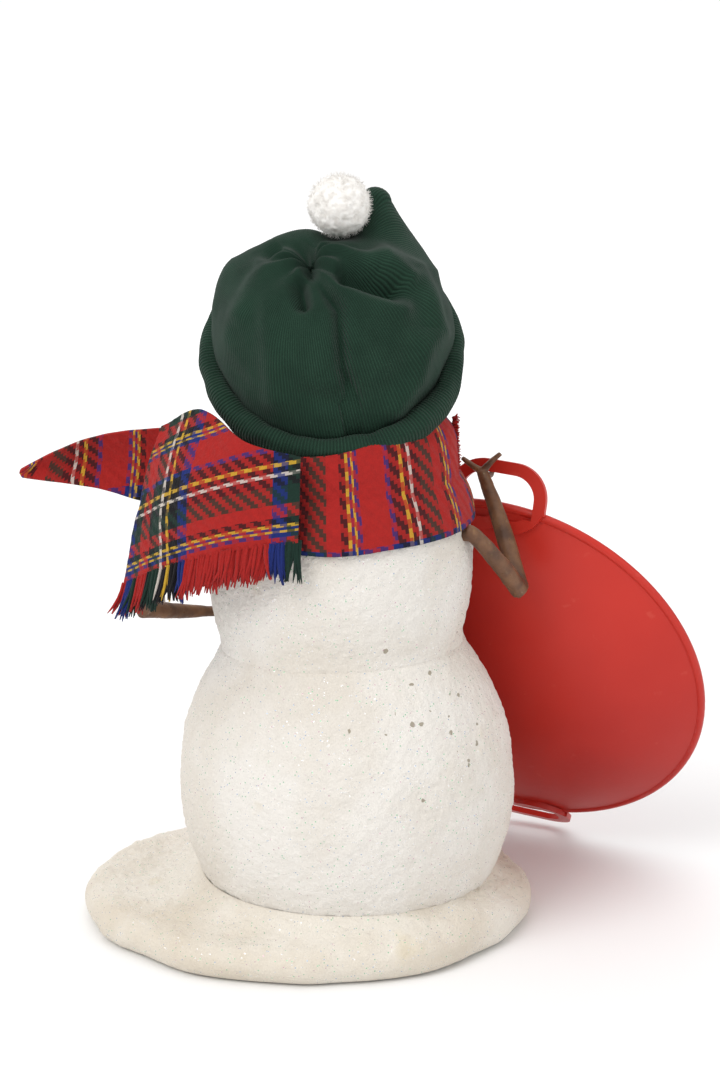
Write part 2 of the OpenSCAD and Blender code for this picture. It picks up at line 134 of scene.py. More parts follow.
# ---------------------------------------------------------------- material helpers
class Nodes:
    def __init__(self, name, color, roughness=0.6):
        self.material = bpy.data.materials.new(name)
        self.material.use_nodes = True
        self.tree = self.material.node_tree
        self.shader = self.tree.nodes["Principled BSDF"]
        self.shader.inputs["Base Color"].default_value = (*color, 1)
        self.shader.inputs["Roughness"].default_value = roughness

    def add(self, kind, **settings):
        node = self.tree.nodes.new(kind)
        for key, value in settings.items():
            setattr(node, key, value)
        return node

    def put(self, socket, value):
        if isinstance(value, bpy.types.NodeSocket):
            self.tree.links.new(value, socket)
        else:
            socket.default_value = value

    def math(self, operation, a, b=0.0, clamp=False):
        node = self.add("ShaderNodeMath", operation=operation, use_clamp=clamp)
        self.put(node.inputs[0], a)
        self.put(node.inputs[1], b)
        return node.outputs[0]

    def noise(self, scale, detail=3.0, where=None):
        node = self.add("ShaderNodeTexNoise")
        node.inputs["Scale"].default_value = scale
        node.inputs["Detail"].default_value = detail
        if where is not None:
            self.put(node.inputs["Vector"], where)
        return node.outputs["Fac"]

    def place(self):
        return self.add("ShaderNodeTexCoord").outputs["Object"]

    def steps(self, value, stops, smooth=False):
        node = self.add("ShaderNodeValToRGB")
        node.color_ramp.interpolation = "LINEAR" if smooth else "CONSTANT"
        ramp = node.color_ramp.elements
        while len(ramp) > 1:
            ramp.remove(ramp[-1])
        ramp[0].position, ramp[0].color = stops[0][0], (*stops[0][1], 1)
        for at, color in stops[1:]:
            made = ramp.new(at)
            made.color = (*color, 1)
        self.put(node.inputs[0], value)
        return node.outputs[0]

    def mix(self, factor, a, b):
        node = self.add("ShaderNodeMix", data_type="RGBA")
        self.put(node.inputs[0], factor)
        for socket, value in ((node.inputs[6], a), (node.inputs[7], b)):
            self.put(socket, (*value, 1) if isinstance(value, tuple) else value)
        return node.outputs[2]

    def bump(self, height, strength, distance):
        node = self.add("ShaderNodeBump")
        node.inputs["Strength"].default_value = strength
        node.inputs["Distance"].default_value = distance
        self.put(node.inputs["Height"], height)
        last = self.shader.inputs["Normal"]
        if last.is_linked:
            self.put(node.inputs["Normal"], last.links[0].from_socket)
        self.put(last, node.outputs[0])

    def color(self, value):
        self.put(self.shader.inputs["Base Color"], value)


ICE = [(1, 1, 1), (0.30, 0.72, 0.42), (0.46, 0.60, 0.80), (0.80, 0.50, 0.60)]
AMBER = [(0.38, 0.20, 0.08), (0.52, 0.32, 0.14), (0.30, 0.15, 0.06), (0.70, 0.52, 0.30)]


def glitter(m, under, cell, share, tints):
    """Small flakes over a colour: returns the colour with them, and sets roughness and metal."""
    where = m.place()
    flakes = m.add("ShaderNodeTexVoronoi")
    flakes.inputs["Scale"].default_value = 1 / (cell * MM)
    m.put(flakes.inputs["Vector"], where)
    split = m.add("ShaderNodeSeparateColor")
    m.put(split.inputs[0], flakes.outputs["Color"])
    near = m.math("LESS_THAN", flakes.outputs["Distance"], 0.38)
    chosen = m.math("LESS_THAN", split.outputs[0], share)
    mask = m.math("MULTIPLY", near, chosen)
    tint = m.steps(split.outputs[1], list(zip((0, 0.42, 0.72, 0.88), tints)))
    m.put(m.shader.inputs["Metallic"], m.math("MULTIPLY", mask, 0.7))
    rough = m.math("SUBTRACT", 0.92, m.math("MULTIPLY", mask, 0.74))
    m.put(m.shader.inputs["Roughness"], rough)
    return m.mix(mask, under, tint), mask, split.outputs[2]


def snow_material(name, base, warm, specks):
    m = Nodes(name, base, 0.92)
    where = m.place()
    cloud = m.steps(m.noise(38, 4, where), [(0.40, warm), (0.60, base)], smooth=True)
    stain = m.steps(m.noise(70, 5, where), [(0.66, (0, 0, 0)), (0.76, (1, 1, 1))], smooth=True)
    colored = m.mix(m.math("MULTIPLY", stain, 0.35), cloud, (0.60, 0.50, 0.30))
    if specks:
        # Age specks gather on the right of the back, so they thin out away from there
        centre = m.add("ShaderNodeVectorMath", operation="DISTANCE")
        m.put(centre.inputs[0], where)
        centre.inputs[1].default_value = tuple(c * MM for c in specks)
        close = m.math("SUBTRACT", 1, m.math("DIVIDE", centre.outputs["Value"], 24 * MM), clamp=True)
        dots = m.add("ShaderNodeTexVoronoi")
        dots.inputs["Scale"].default_value = 1 / (2.1 * MM)
        bent = m.add("ShaderNodeVectorMath", operation="MULTIPLY_ADD")
        ragged = m.add("ShaderNodeTexNoise")
        ragged.inputs["Scale"].default_value = 900
        m.put(ragged.inputs["Vector"], where)
        m.put(bent.inputs[0], ragged.outputs["Color"])
        bent.inputs[1].default_value = (1.1 * MM,) * 3
        m.put(bent.inputs[2], where)
        m.put(dots.inputs["Vector"], bent.outputs[0])
        split = m.add("ShaderNodeSeparateColor")
        m.put(split.inputs[0], dots.outputs["Color"])
        reach = m.math("ADD", 0.07, m.math("MULTIPLY", split.outputs[1], 0.24))
        dark = m.math("MULTIPLY", m.math("LESS_THAN", dots.outputs["Distance"], reach),
                      m.math("LESS_THAN", split.outputs[0], m.math("MULTIPLY", close, 0.42)))
        colored = m.mix(m.math("MULTIPLY", dark, 0.72), colored, (0.19, 0.15, 0.08))
    colored, mask, tip = glitter(m, colored, 0.38, 0.075, ICE)
    m.color(colored)
    m.bump(m.noise(1900, 5, where), 0.8, 0.0004)
    m.bump(m.math("MULTIPLY", mask, tip), 0.8, 0.0004)
    m.shader.inputs["Specular IOR Level"].default_value = 0.22
    m.shader.inputs["Sheen Weight"].default_value = 0.2
    m.shader.inputs["Sheen Roughness"].default_value = 0.6
    return m.material


def knit_material():
    m = Nodes("green_knit", (0.014, 0.044, 0.026), 0.92)
    split = m.add("ShaderNodeSeparateXYZ")
    m.put(split.inputs[0], m.add("ShaderNodeAttribute", attribute_name="rib").outputs["Vector"])
    wave = m.math("COSINE", m.math("MULTIPLY", split.outputs[0], math.tau))
    stitch = m.math("COSINE", m.math("MULTIPLY", split.outputs[1], math.tau / 0.62))
    height = m.math("ADD", wave, m.math("MULTIPLY", m.math("ABSOLUTE", stitch), 0.35))
    # Painted shade: the colour darkens into the grooves between the ribs, where shade falls
    painted_groove_shade = m.math("MULTIPLY", m.math("SUBTRACT", 1, wave), 0.28, clamp=True)
    greens = [(0.35, (0.012, 0.038, 0.023)), (0.65, (0.018, 0.052, 0.032))]
    cloud = m.steps(m.noise(120, 4, m.place()), greens, smooth=True)
    m.color(m.mix(painted_groove_shade, cloud, (0.004, 0.014, 0.008)))
    m.bump(height, 0.6, 0.00025)
    m.bump(m.noise(2600, 3, m.place()), 0.35, 0.0002)
    m.shader.inputs["Specular IOR Level"].default_value = 0.2
    m.shader.inputs["Sheen Weight"].default_value = 0.06
    m.shader.inputs["Sheen Roughness"].default_value = 0.4
    return m.material


RED, BLUE, GREEN = (0.40, 0.016, 0.013), (0.010, 0.024, 0.16), (0.008, 0.030, 0.020)
BLACK, YELLOW, WHITE = (0.007, 0.006, 0.008), (0.60, 0.36, 0.03), (0.62, 0.55, 0.49)
# Widths of the tartan's stripes in mm, across the scarf and along it
ACROSS = [(2.5, GREEN), (3.4, BLUE), (21.0, RED), (2.8, BLUE), (3.0, BLACK), (1.0, YELLOW),
          (1.5, BLACK), (1.0, WHITE), (3.4, GREEN), (1.2, BLACK), (4.4, RED)]
ALONG = [(3.4, RED), (1.2, BLUE), (2.6, BLACK), (0.9, YELLOW), (1.4, BLACK), (0.9, WHITE), (2.1, BLACK),
         (4.1, GREEN), (2.9, RED), (1.5, BLACK), (0.7, YELLOW), (0.6, BLUE), (0.6, YELLOW), (1.0, BLUE),
         (3.0, RED)]
ALONG_REPEAT = sum(width for width, _ in ALONG)
# Four threads of the twill, the repeat that set the model's scale
TWILL = 3.3


def sett(m, value, stripes):
    total = sum(w for w, _ in stripes)
    stops, at = [], 0.0
    for w, color in stripes:
        stops.append((at / total, color))
        at += w
    wrapped = m.math("FLOORED_MODULO", m.math("DIVIDE", value, total), 1.0)
    return m.steps(wrapped, stops)


def tartan_material(name, fringe=False):
    m = Nodes(name, RED, 0.9)
    split = m.add("ShaderNodeSeparateXYZ")
    m.put(split.inputs[0], m.add("ShaderNodeAttribute", attribute_name="cloth").outputs["Vector"])
    s, t = split.outputs[0], split.outputs[1]
    warp = sett(m, s, ACROSS)
    if fringe:
        m.color(m.mix(m.math("MULTIPLY", m.noise(900, 2, m.place()), 0.35), warp, BLACK))
    else:
        thread = TWILL / 4
        column = m.math("FLOOR", m.math("DIVIDE", s, thread))
        cell = m.math("ADD", column, m.math("FLOOR", m.math("DIVIDE", t, thread)))
        over = m.math("LESS_THAN", m.math("FLOORED_MODULO", cell, 4.0), 2.0)
        # The brushed nap lets a little of the covered thread show through
        woven = m.mix(m.math("ADD", 0.16, m.math("MULTIPLY", over, 0.68)), sett(m, t, ALONG), warp)
        ridge = m.math("COSINE", m.math("MULTIPLY", m.math("ADD", s, t), math.tau / TWILL))
        m.color(m.mix(m.math("MULTIPLY", m.noise(800, 3, m.place()), 0.30), woven, BLACK))
        m.bump(ridge, 0.45, 0.00022)
    m.bump(m.noise(2400, 4, m.place()), 0.6, 0.0003)
    m.shader.inputs["Specular IOR Level"].default_value = 0.2
    m.shader.inputs["Sheen Weight"].default_value = 0.06
    m.shader.inputs["Sheen Roughness"].default_value = 0.5
    return m.material


def twig_material():
    m = Nodes("twig_brown", (0.18, 0.075, 0.028), 0.5)
    where = m.place()
    browns = [(0.34, (0.075, 0.030, 0.012)), (0.5, (0.130, 0.054, 0.021)), (0.68, (0.185, 0.084, 0.034))]
    tone = m.steps(m.noise(260, 5, where), browns, smooth=True)
    colored, mask, _ = glitter(m, tone, 0.30, 0.05, AMBER)
    m.color(colored)
    m.put(m.shader.inputs["Roughness"], m.math("SUBTRACT", 0.5, m.math("MULTIPLY", mask, 0.34)))
    m.bump(m.noise(650, 5, where), 0.5, 0.0005)
    return m.material


def plastic_material():
    m = Nodes("red_plastic", (0.50, 0.018, 0.010), 0.42)
    where = m.place()
    reds = [(0.36, (0.42, 0.014, 0.008)), (0.66, (0.53, 0.024, 0.013))]
    tone = m.steps(m.noise(16, 3, where), reds, smooth=True)
    scuff = m.steps(m.noise(240, 6, where), [(0.66, (0, 0, 0)), (0.74, (1, 1, 1))], smooth=True)
    m.color(m.mix(m.math("MULTIPLY", scuff, 0.10), tone, (0.78, 0.22, 0.16)))
    m.put(m.shader.inputs["Roughness"], m.math("ADD", 0.32, m.math("MULTIPLY", m.noise(60, 4, where), 0.16)))
    m.bump(m.noise(420, 4, where), 0.10, 0.0003)
    m.shader.inputs["Specular IOR Level"].default_value = 0.35
    m.shader.inputs["Subsurface Weight"].default_value = 0.06
    m.shader.inputs["Subsurface Scale"].default_value = 0.002
    return m.material


def plain_grain(name, dark, light, scale, rough, stretch=(1, 1, 1), bump=0.3, metal=0.0):
    m = Nodes(name, light, rough)
    mapping = m.add("ShaderNodeMapping")
    mapping.inputs["Scale"].default_value = stretch
    m.put(mapping.inputs["Vector"], m.place())
    grain = m.noise(scale, 5, mapping.outputs[0])
    m.color(m.steps(grain, [(0.36, dark), (0.64, light)], smooth=True))
    m.bump(grain, bump, 0.0003)
    m.shader.inputs["Metallic"].default_value = metal
    return m.material


SNOW = snow_material("snow_flock", (0.75, 0.715, 0.665), (0.68, 0.63, 0.56), (-23, 30, 62))
DRIFT = snow_material("snow_base_flock", (0.73, 0.68, 0.60), (0.64, 0.57, 0.47), None)
KNIT = knit_material()
TARTAN = tartan_material("tartan")
YARN = tartan_material("tartan_yarn", fringe=True)
TWIG = twig_material()
PLASTIC = plastic_material()
POM = plain_grain("white_pom", (0.74, 0.71, 0.67), (0.90, 0.88, 0.85), 700, 0.95)
COAL = plain_grain("coal", (0.008, 0.008, 0.009), (0.045, 0.043, 0.042), 900, 0.55, bump=0.8)
CARROT = plain_grain("carrot", (0.56, 0.13, 0.015), (0.86, 0.30, 0.045), 260, 0.5, (1, 4, 1), 0.5)
FELT = plain_grain("grey_felt", (0.05, 0.05, 0.052), (0.12, 0.12, 0.125), 1400, 0.95, bump=0.8)
PLY = plain_grain("plywood", (0.44, 0.28, 0.14), (0.68, 0.50, 0.30), 90, 0.6, (1, 1, 14), 0.3)
TURNED = plain_grain("turned_wood", (0.50, 0.34, 0.18), (0.74, 0.57, 0.36), 110, 0.55, (1, 1, 9), 0.3)
DOWEL = plain_grain("dowel_wood", (0.42, 0.27, 0.13), (0.66, 0.47, 0.27), 300, 0.55, (8, 8, 0.6), 0.3)
ZINC = plain_grain("zinc_steel", (0.50, 0.50, 0.51), (0.74, 0.74, 0.75), 600, 0.35, (1, 1, 5), 0.15, 1.0)

# The rigid CAD pieces keep their own shape and take these materials
SHOWN = {"base_felt": FELT, "base_board": PLY, "base_screw": ZINC, "lower_ball": TURNED, "chest_ball": TURNED,
         "head_ball": TURNED, "spine_dowel": DOWEL, "saucer": PLASTIC}
for node, material in SHOWN.items():
    CAD[node].data.materials.clear()
    CAD[node].data.materials.append(material)


# ---------------------------------------------------------------- snow
LEAN = math.radians(1.8)
LOWER_Z, WAIST_Z, CHEST_Z, NECK_Z, HEAD_Z = 35.984, 69.211, 91.855, 114.283, 134.837
LOWER_R, LOWER_STRETCH, CHEST_R, CHEST_STRETCH, HEAD_R = 39.5, 12.5, 31.0, 44.0, 23.8
BOARD_TOP = 4.0
DRIFT_CENTRE, DRIFT_HALF = np.array([9.0, -5.0]), np.array([54.0, 50.2])
PAD_R = 46.25


def leaned(p):
    p = np.asarray(p, float)
    z = p[..., 2] - LOWER_Z
    out = p.copy()
    out[..., 0] = p[..., 0] * math.cos(LEAN) + z * math.sin(LEAN)
    out[..., 2] = LOWER_Z + z * math.cos(LEAN) - p[..., 0] * math.sin(LEAN)
    return out


def lower_at(z):
    arc = LOWER_R + LOWER_STRETCH
    return np.sqrt(np.maximum(arc**2 - (z - LOWER_Z) ** 2, 0)) - LOWER_STRETCH


def chest_at(z):
    arc = CHEST_R + CHEST_STRETCH
    low = np.sqrt(np.maximum(arc**2 - (z - CHEST_Z) ** 2, 0)) - CHEST_STRETCH
    high = np.sqrt(np.maximum(CHEST_R**2 - (z - CHEST_Z) ** 2, 0))
    return np.where(z < CHEST_Z, low, high)


def flocked(name, node, radius_at, z_low, z_high, inset, rows, cols):
    """A shell turned from its profile, with lumps raised on the outside.

    Both balls take the same lumps, so the flock runs on through the waist where they overlap.
    """
    z = np.linspace(z_low, z_high, rows)
    turn = np.linspace(0, math.tau, cols, endpoint=False)
    zz, aa = np.meshgrid(z, turn, indexing="ij")
    rr = radius_at(zz) + 0.7 * np.exp(-(((zz - WAIST_Z) / 1.8) ** 2))
    outer = leaned(np.stack([rr * np.cos(aa), rr * np.sin(aa), zz], -1)).reshape(-1, 3)
    out = outer - leaned(np.stack([0 * rr, 0 * rr, zz], -1)).reshape(-1, 3)
    out /= np.maximum(np.linalg.norm(out, axis=1, keepdims=True), 1e-6)
    fade = np.clip(np.minimum(zz - BOARD_TOP - 1.2, NECK_Z - 0.1 - zz).reshape(-1) / 1.5, 0, 1)
    raised = 0.32 * layered(outer, 10, 2, 1) + 0.15 * layered(outer, 2.2, 2, 6)
    raised += 0.17 * noise(outer, 0.7, 10)
    outer = outer + out * (raised * fade)[:, None]
    ri = np.maximum(rr - inset, 0.5)
    inner = leaned(np.stack([ri * np.cos(aa), ri * np.sin(aa), zz], -1)).reshape(-1, 3)
    n = rows * cols
    faces = grid_faces(rows, cols, wrap_cols=True)
    faces += [tuple(i + n for i in f[::-1]) for f in grid_faces(rows, cols, wrap_cols=True)]
    for c in range(cols):
        c2 = (c + 1) % cols
        faces.append((c, n + c, n + c2, c2))
        top = (rows - 1) * cols
        faces.append((top + c2, n + top + c2, n + top + c, top + c))
    piece = make(name, np.vstack([outer, inner]), faces, "root", SNOW)
    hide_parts(node)
    return piece


flocked("lower_flock", "lower_snow", lower_at, BOARD_TOP + 1.2, WAIST_Z + 0.4, 1.5, 170, 560)
flocked("chest_flock", "chest_snow", chest_at, WAIST_Z - 0.4, NECK_Z - 0.1, 1.5, 120, 460)


def head_flock():
    rows, cols = 110, 300
    low = math.asin((NECK_Z + 0.1 - HEAD_Z) / HEAD_R)
    up = np.linspace(low, math.pi / 2 - 0.004, rows)
    turn = np.linspace(0, math.tau, cols, endpoint=False)
    ee, aa = np.meshgrid(up, turn, indexing="ij")
    d = np.stack([np.cos(ee) * np.cos(aa), np.cos(ee) * np.sin(aa), np.sin(ee)], -1).reshape(-1, 3)
    centre = np.array([0, 0, HEAD_Z])
    base = centre + d * HEAD_R
    fade = np.clip((base[:, 2] - NECK_Z) / 1.5, 0, 1)
    raised = (0.10 * layered(base, 1.4, 2, 3) + 0.08 * noise(base, 0.7, 4)) * fade
    outer = leaned(base + d * raised[:, None])
    inner = leaned(centre + d * (HEAD_R - 1.5))
    n = rows * cols
    faces = grid_faces(rows, cols, wrap_cols=True)
    faces += [tuple(i + n for i in f[::-1]) for f in faces]
    for c in range(cols):
        c2 = (c + 1) % cols
        faces.append((c, n + c, n + c2, c2))
    faces.append(tuple(range((rows - 1) * cols, rows * cols)))
    faces.append(tuple(range(n + (rows - 1) * cols, n + rows * cols))[::-1])
    piece = make("head_flock", np.vstack([outer, inner]), faces, "root", SNOW)
    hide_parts("head_snow")


def neck_flock():
    """Snow packed where the head sits on the chest, inside the scarf's collar."""
    rows, cols = 28, 300
    around = np.linspace(0, math.tau, rows, endpoint=False)
    turn = np.linspace(0, math.tau, cols, endpoint=False)
    rr, aa = np.meshgrid(around, turn, indexing="ij")
    r = 16.2 + 4.3 * np.cos(rr)
    p = np.stack([r * np.cos(aa), r * np.sin(aa), NECK_Z + 0.9 + 1.4 * np.sin(rr)], -1).reshape(-1, 3)
    p[:, 2] += 0.15 * layered(p, 2.2, 2, 11) + 0.12 * noise(p, 0.7, 12)
    faces = grid_faces(rows, cols, wrap_cols=True, wrap_rows=True)
    piece = make("neck_flock", leaned(p), faces, "root", SNOW)
    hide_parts("chest_snow")


def drift():
    """The base: a lumpy skirt with a rounded edge, rising to where it is heaped round the ball."""
    cols = 620
    turn = np.linspace(0, math.tau, cols, endpoint=False)
    centre = DRIFT_CENTRE
    ring = np.stack([np.cos(turn), np.sin(turn)], -1)
    flat = np.zeros(cols)
    wander = noise(np.column_stack([ring * 2.4, flat]), 1, 21)
    wander = wander + 0.5 * noise(np.column_stack([ring * 6, flat]), 1, 22)
    edge = centre + ring * DRIFT_HALF + ring * (wander - 0.9)[:, None]
    inner_z = 13.6
    touch = ring * (lower_at(np.array([inner_z]))[0] + 0.05)
    rows = []
    for share in np.linspace(0, 1, 90):
        at = touch + (edge - touch) * share
        gone = np.linalg.norm(at - touch, axis=1)
        left = np.linalg.norm(edge - at, axis=1)
        heap = (inner_z - 8.4) * np.exp(-(gone / 5.2) ** 1.35)
        lip = np.sqrt(np.clip(1 - (1 - np.clip(left / 5.2, 0, 1)) ** 2, 0, 1))
        z = 4.2 + 4.2 * lip + heap
        rows.append(np.column_stack([at, z]))
    for share in np.linspace(0.1, 1, 12):
        a = share * math.pi / 2
        under = edge - ring * 3.8 * (1 - math.cos(a))
        rows.append(np.column_stack([under, np.full(cols, 4.2 - 4.0 * math.sin(a))]))
    pad = centre + ring * PAD_R
    rows.append(np.column_stack([pad, np.full(cols, 0.2)]))
    rows.append(np.column_stack([pad, np.full(cols, BOARD_TOP + 0.05)]))
    foot = ring * (lower_at(np.array([5.2]))[0] - 0.4)
    rows.append(np.column_stack([foot, np.full(cols, BOARD_TOP + 0.05)]))
    for z in np.linspace(5.2, inner_z, 10)[:-1]:
        rows.append(np.column_stack([ring * (lower_at(np.array([z]))[0] + 0.05), np.full(cols, z)]))
    grid = np.stack(rows)
    top = grid[:102].reshape(-1, 3)
    lumps = 0.55 * layered(top, 11, 2, 31) + 0.30 * layered(top, 2.4, 2, 32) + 0.16 * noise(top, 0.8, 33)
    fade = np.clip((top[:, 2] - 0.4) / 2, 0, 1) * np.repeat(np.clip(np.arange(102) / 5, 0, 1), cols)
    top[:, 2] += lumps * fade
    grid[:102] = top.reshape(102, cols, 3)
    faces = grid_faces(len(rows), cols, wrap_cols=True, wrap_rows=True, flip=True)
    piece = make("snow_drift", grid.reshape(-1, 3), faces, "root", DRIFT)
    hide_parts("snow_base")


head_flock()
neck_flock()
drift()

# ---------------------------------------------------------------- cap
HEAD = leaned([0, 0, HEAD_Z])
TILT = math.radians(44)
CAP_AXIS = np.array([0, math.sin(TILT), math.cos(TILT)])
RING = HEAD + 4.0 * CAP_AXIS
RIBS = 236


def round_cone(p, a, b, ra, rb):
    """Distance to a cone with round ends between two points."""
    a, b = np.asarray(a, float), np.asarray(b, float)
    along = np.clip((p - a) @ (b - a) / ((b - a) @ (b - a)), 0, 1)
    return np.linalg.norm(p - a - along[:, None] * (b - a), axis=1) - (ra + (rb - ra) * along)


def melt(a, b, k):
    h = np.clip(0.5 + 0.5 * (b - a) / k, 0, 1)
    return b * (1 - h) + a * h - k * h * (1 - h)


def egg(p, centre, half):
    """Rough distance to an ellipsoid with these half widths."""
    half = np.asarray(half, float)
    return (np.linalg.norm((p - np.asarray(centre, float)) / half, axis=1) - 1) * half.min()


def crown_distance(p):
    d = np.linalg.norm(p - HEAD, axis=1) - 25.2
    d = melt(d, egg(p, (3.2, 3.0, 142.5), (27.6, 25.5, 22.0)), 3)
    d = melt(d, round_cone(p, (-8.0, 0.0, 155.1), (-6.5, -3.0, 171.3), 12.6, 3.8), 3)
    return melt(d, round_cone(p, (18.0, 2.0, 150.9), (11.0, 2.0, 157.6), 11.2, 8.3), 3)


# Folds of the empty crown at the back: places as (x, height seen from behind), depth and width.
# A negative depth is a valley.
FOLDS = [
    ([(8.0, 60.0), (1.4, 50.7), (1.2, 45.7), (0.5, 37.8), (-1.7, 31.2), (-2.0, 21.0)], -1.9, 1.3),
    ([(10.6, 56.2), (9.8, 52.2)], -2.6, 1.4),
    ([(17.4, 60.0), (16.6, 46.0), (16.0, 31.7)], 0.9, 2.2),
    ([(0.0, 57.6), (-5.0, 56.6), (-10.6, 55.2)], -3.0, 1.6),
    ([(-7.6, 62.7), (-11.5, 61.1), (-15.5, 60.0), (-18.3, 52.9), (-20.3, 46.4), (-17.6, 43.0), (-15.1, 35.7),
      (-10.6, 29.6)], 1.3, 1.9),
    ([(5.9, 63.2), (-0.8, 61.2), (-7.6, 60.4), (-13.0, 57.0)], 1.9, 1.6),
    ([(5.5, 57.5), (-3.0, 52.8), (-12.0, 50.2)], 1.2, 1.9),
    ([(7.8, 31.4), (2.5, 30.2), (-1.3, 30.3)], -0.5, 1.8),
    ([(0.1, 29.0), (-1.7, 21.5)], -1.6, 0.8),
    ([(12.5, 62.0), (20.0, 57.0), (23.0, 50.0)], 0.9, 2.0),
    ([(7.8, 63.0), (14.0, 66.0), (17.0, 62.5)], -1.0, 1.3),
]


def seen_height(p):
    return (p[:, 2] - TARGET[2]) * math.cos(SIGHT) - p[:, 1] * math.sin(SIGHT)


def near_line(q, line):
    best = np.full(len(q), 1e9)
    for a, b in zip(line[:-1], line[1:]):
        a, b = np.array(a), np.array(b)
        s = np.clip((q - a) @ (b - a) / ((b - a) @ (b - a)), 0, 1)
        best = np.minimum(best, np.linalg.norm(q - a - s[:, None] * (b - a), axis=1))
    return best


def cap_crown():
    rows, cols = 170, 5 * RIBS
    pole = unit(np.array([8.0, 15.0, 160.0]) - HEAD)
    side = unit(np.cross(pole, [0, 0, 1]))
    other = np.cross(pole, side)
    turn = np.linspace(0, math.tau, cols, endpoint=False)
    spoke = np.outer(np.cos(turn), side) + np.outer(np.sin(turn), other)
    a, b = pole @ CAP_AXIS, spoke @ CAP_AXIS
    last = np.arctan2(b, a) + np.arccos(np.clip(0.10 / np.sqrt(a * a + b * b), -1, 1))
    share = np.linspace(0.012, 1, rows) ** 0.9
    angle = share[:, None] * last[None, :]
    d = np.cos(angle)[..., None] * pole + np.sin(angle)[..., None] * spoke[None]
    d = d.reshape(-1, 3)
    r = np.full(len(d), 46.0)
    for _ in range(70):
        r -= 0.8 * crown_distance(HEAD + d * r[:, None])
    p = HEAD + d * r[:, None]
    back = np.clip((p[:, 1] + 4) / 9, 0, 1)
    q = np.column_stack([p[:, 0], seen_height(p)])
    moved = np.zeros(len(p))
    for line, depth, width in FOLDS:
        moved += 1.65 * depth * np.exp(-((near_line(q, line) / (1.25 * width)) ** 2))
    far = np.linalg.norm(q - np.array([8.0, 63.0]), axis=1)
    phi = np.tile(turn, rows)
    gather = np.exp(-((far - 5.5) / 5.5) ** 2) * np.cos(9 * phi + 1.3 * np.sin(2 * phi)) * 0.75
    moved = (moved + gather - 2.2 * np.exp(-((far / 2.4) ** 2))) * back
    moved += 0.5 * layered(p, 9, 2, 41)
    rib = 0.035 * np.cos(RIBS * phi) * np.clip(share.repeat(cols) * 3, 0, 1)
    floor_r = HEAD_R + 0.35
    r2 = np.maximum(r + moved + rib, floor_r)
    outer = HEAD + d * r2[:, None]
    # The pom-pom is sewn on, so the knit dips under it
    pom = leaned([-2.8, 6.0, HEAD_Z + 37])
    off = outer - pom
    gap = np.linalg.norm(off, axis=1)
    outer = np.where((gap < 6.9)[:, None], pom + off / np.maximum(gap, 1e-6)[:, None] * 6.9, outer)
    inner = HEAD + d * np.maximum(np.linalg.norm(outer - HEAD, axis=1) - 1.0, HEAD_R + 0.1)[:, None]
    arc = (share.repeat(cols) * 32.0)
    flow = np.column_stack([phi * RIBS / math.tau, arc, 0 * phi])
    n = rows * cols
    faces = grid_faces(rows, cols, wrap_cols=True)
    faces += [tuple(i + n for i in f[::-1]) for f in grid_faces(rows, cols, wrap_cols=True)]
    for c in range(cols):
        c2 = (c + 1) % cols
        faces.append((c2, n + c2, n + c, c))
        low = (rows - 1) * cols
        faces.append((low + c, n + low + c, n + low + c2, low + c2))
    return np.vstack([outer, inner]), faces, np.vstack([flow, flow])


def cap_cuff():
    """A soft flattened roll, uneven along its length, pinched where the cap is sewn up at the back."""
    cols, rows = 6 * RIBS, 44
    turn = np.linspace(0, math.tau, cols, endpoint=False)
    around = np.linspace(0, math.tau, rows, endpoint=False)
    e1 = np.array([1.0, 0, 0])
    e2 = np.cross(CAP_AXIS, e1)
    out = np.outer(np.cos(turn), e1) + np.outer(np.sin(turn), e2)
    wave = np.column_stack([np.cos(turn) * 3, np.sin(turn) * 3, 0 * turn])
    seam = np.exp(-((np.angle(np.exp(1j * (turn + math.pi / 2 - 0.10))) / 0.05) ** 2))
    thick = 2.75 * (1 + 0.16 * noise(wave, 0.9, 51) + 0.08 * noise(wave, 0.35, 52)) - 0.7 * seam
    tall = 3.55 * (1 + 0.12 * noise(wave, 0.8, 54) + 0.06 * noise(wave, 0.3, 56)) - 0.9 * seam
    major = 27.5 + 0.45 * noise(wave, 1.1, 53)
    sway = 0.75 * noise(wave, 0.7, 57) - 0.8 * seam
    rr, tt = np.meshgrid(around, turn, indexing="ij")
    uneven = noise(np.tile(wave, (rows, 1)), 0.8, 55).reshape(rows, cols)
    fold = 0.42 * np.sin(3 * rr + 5 * np.sin(3 * tt + 0.6)) * uneven
    ribs = 0.03 * np.cos(RIBS * tt)
    wide = np.sign(np.cos(rr)) * np.abs(np.cos(rr)) ** 0.78
    high = np.sign(np.sin(rr)) * np.abs(np.sin(rr)) ** 0.92
    p = (RING + out[None] * (major[None, :, None] + ((thick[None] + fold + ribs) * wide)[..., None])
         + CAP_AXIS * (sway[None] + (tall[None] + fold * 0.5 + ribs) * high)[..., None])
    p = p.reshape(-1, 3)
    off = p - HEAD
    gone = np.linalg.norm(off, axis=1)
    p = HEAD + off / gone[:, None] * np.maximum(gone, HEAD_R + 0.3)[:, None]
    flow = np.column_stack([(tt * RIBS / math.tau).ravel(), (rr * 3.2).ravel(), 0 * rr.ravel()])
    return p, grid_faces(rows, cols, wrap_cols=True, wrap_rows=True), flow


for name, (verts, faces, flow) in {"cap_crown": cap_crown(), "cap_cuff": cap_cuff()}.items():
    piece = make(name, verts, faces, "root", KNIT, {"rib": flow})
    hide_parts("hat")


